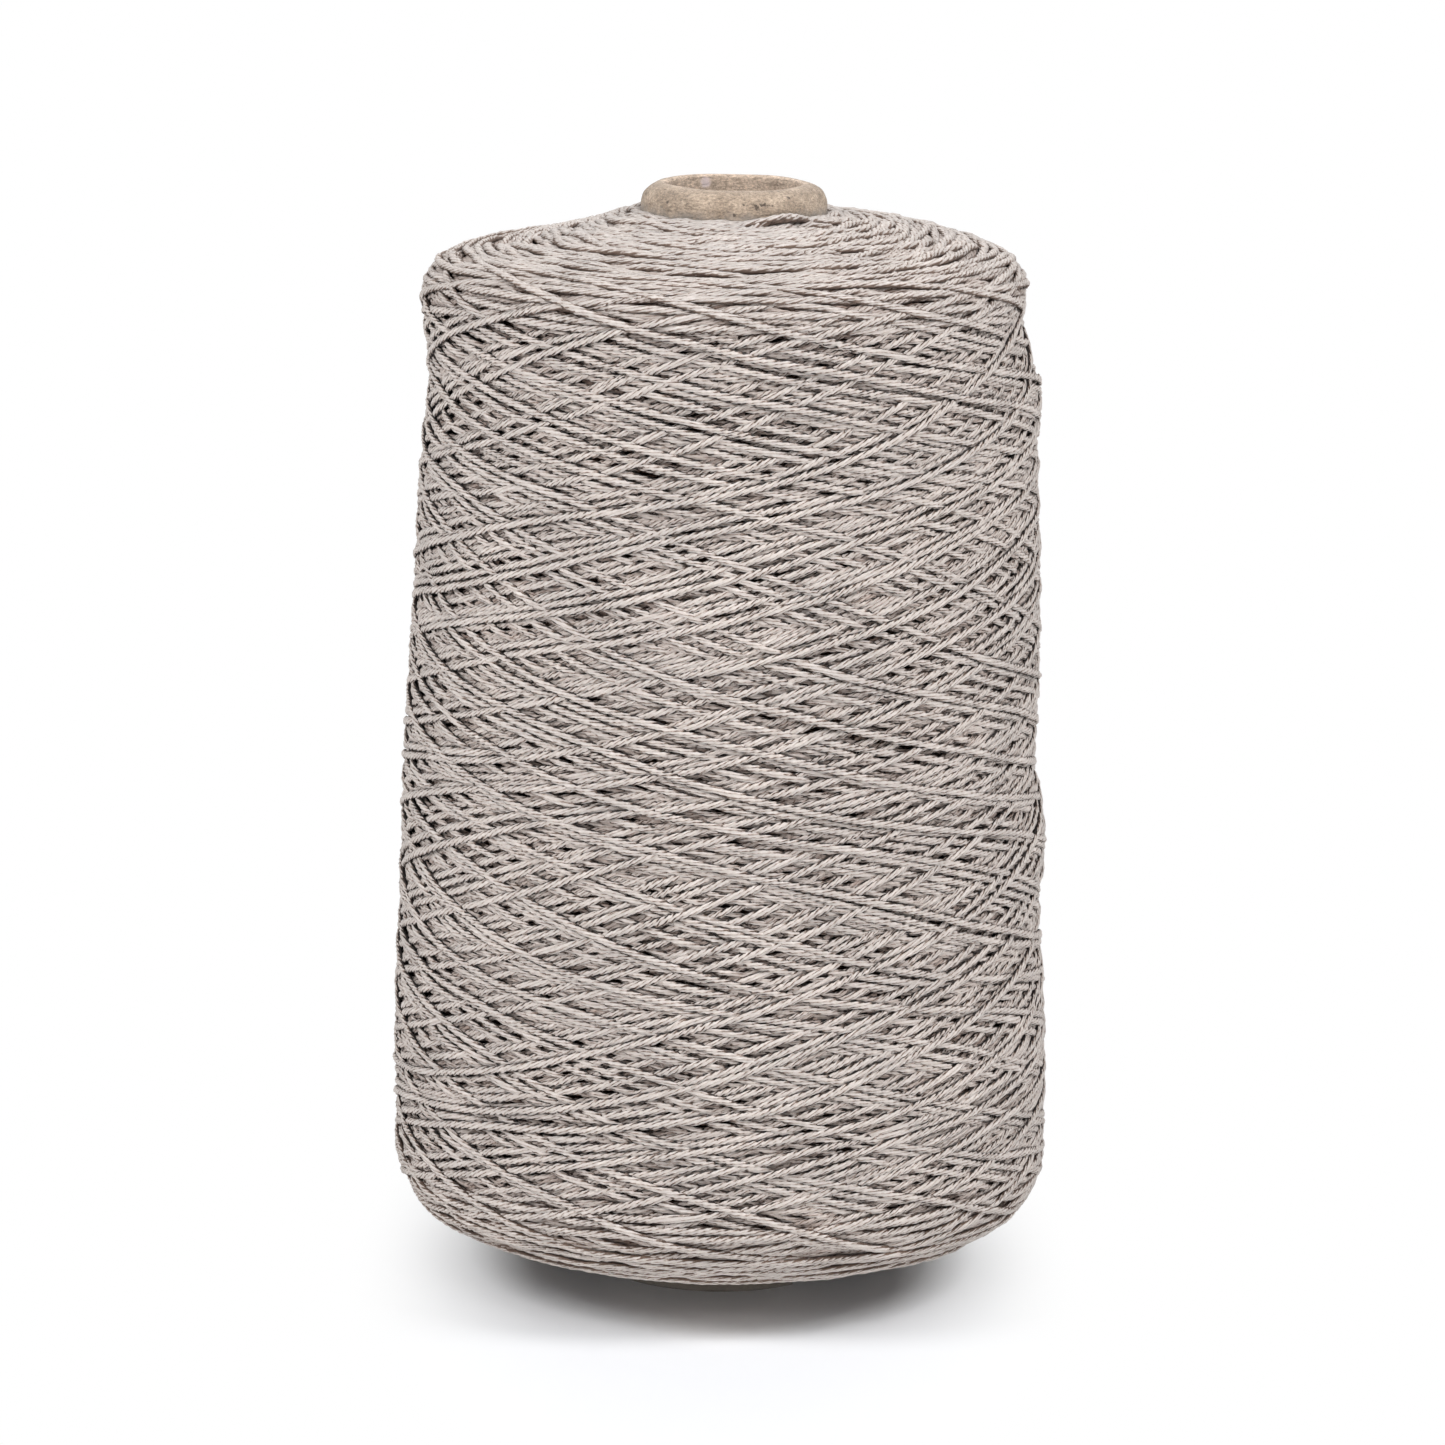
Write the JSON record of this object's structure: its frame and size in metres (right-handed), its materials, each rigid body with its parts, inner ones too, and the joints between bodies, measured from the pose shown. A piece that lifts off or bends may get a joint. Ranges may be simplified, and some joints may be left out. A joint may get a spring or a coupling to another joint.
{
  "type": "yarn cone",
  "caption": "Cone of cross-wound greige yarn on a tapered paperboard cone with a rolled nose and a tail notch in its base rim.",
  "frame": {"origin": "centre of the cone's base rim, on the surface it stands on", "axes": "+Z along the cone's axis from the base up to the nose; -Y faces the picture's camera"},
  "size_m": [0.137, 0.137, 0.23],
  "materials": {
    "cardboard": "matte tan pulp board, slightly fuzzy and scuffed",
    "yarn": "soft matte greige plied yarn with a faint sheen"
  },
  "bodies": {
    "root": {"paper_cone": "cardboard", "yarn_body": "yarn", "outer_winding": "yarn"}
  },
  "joints": []
}
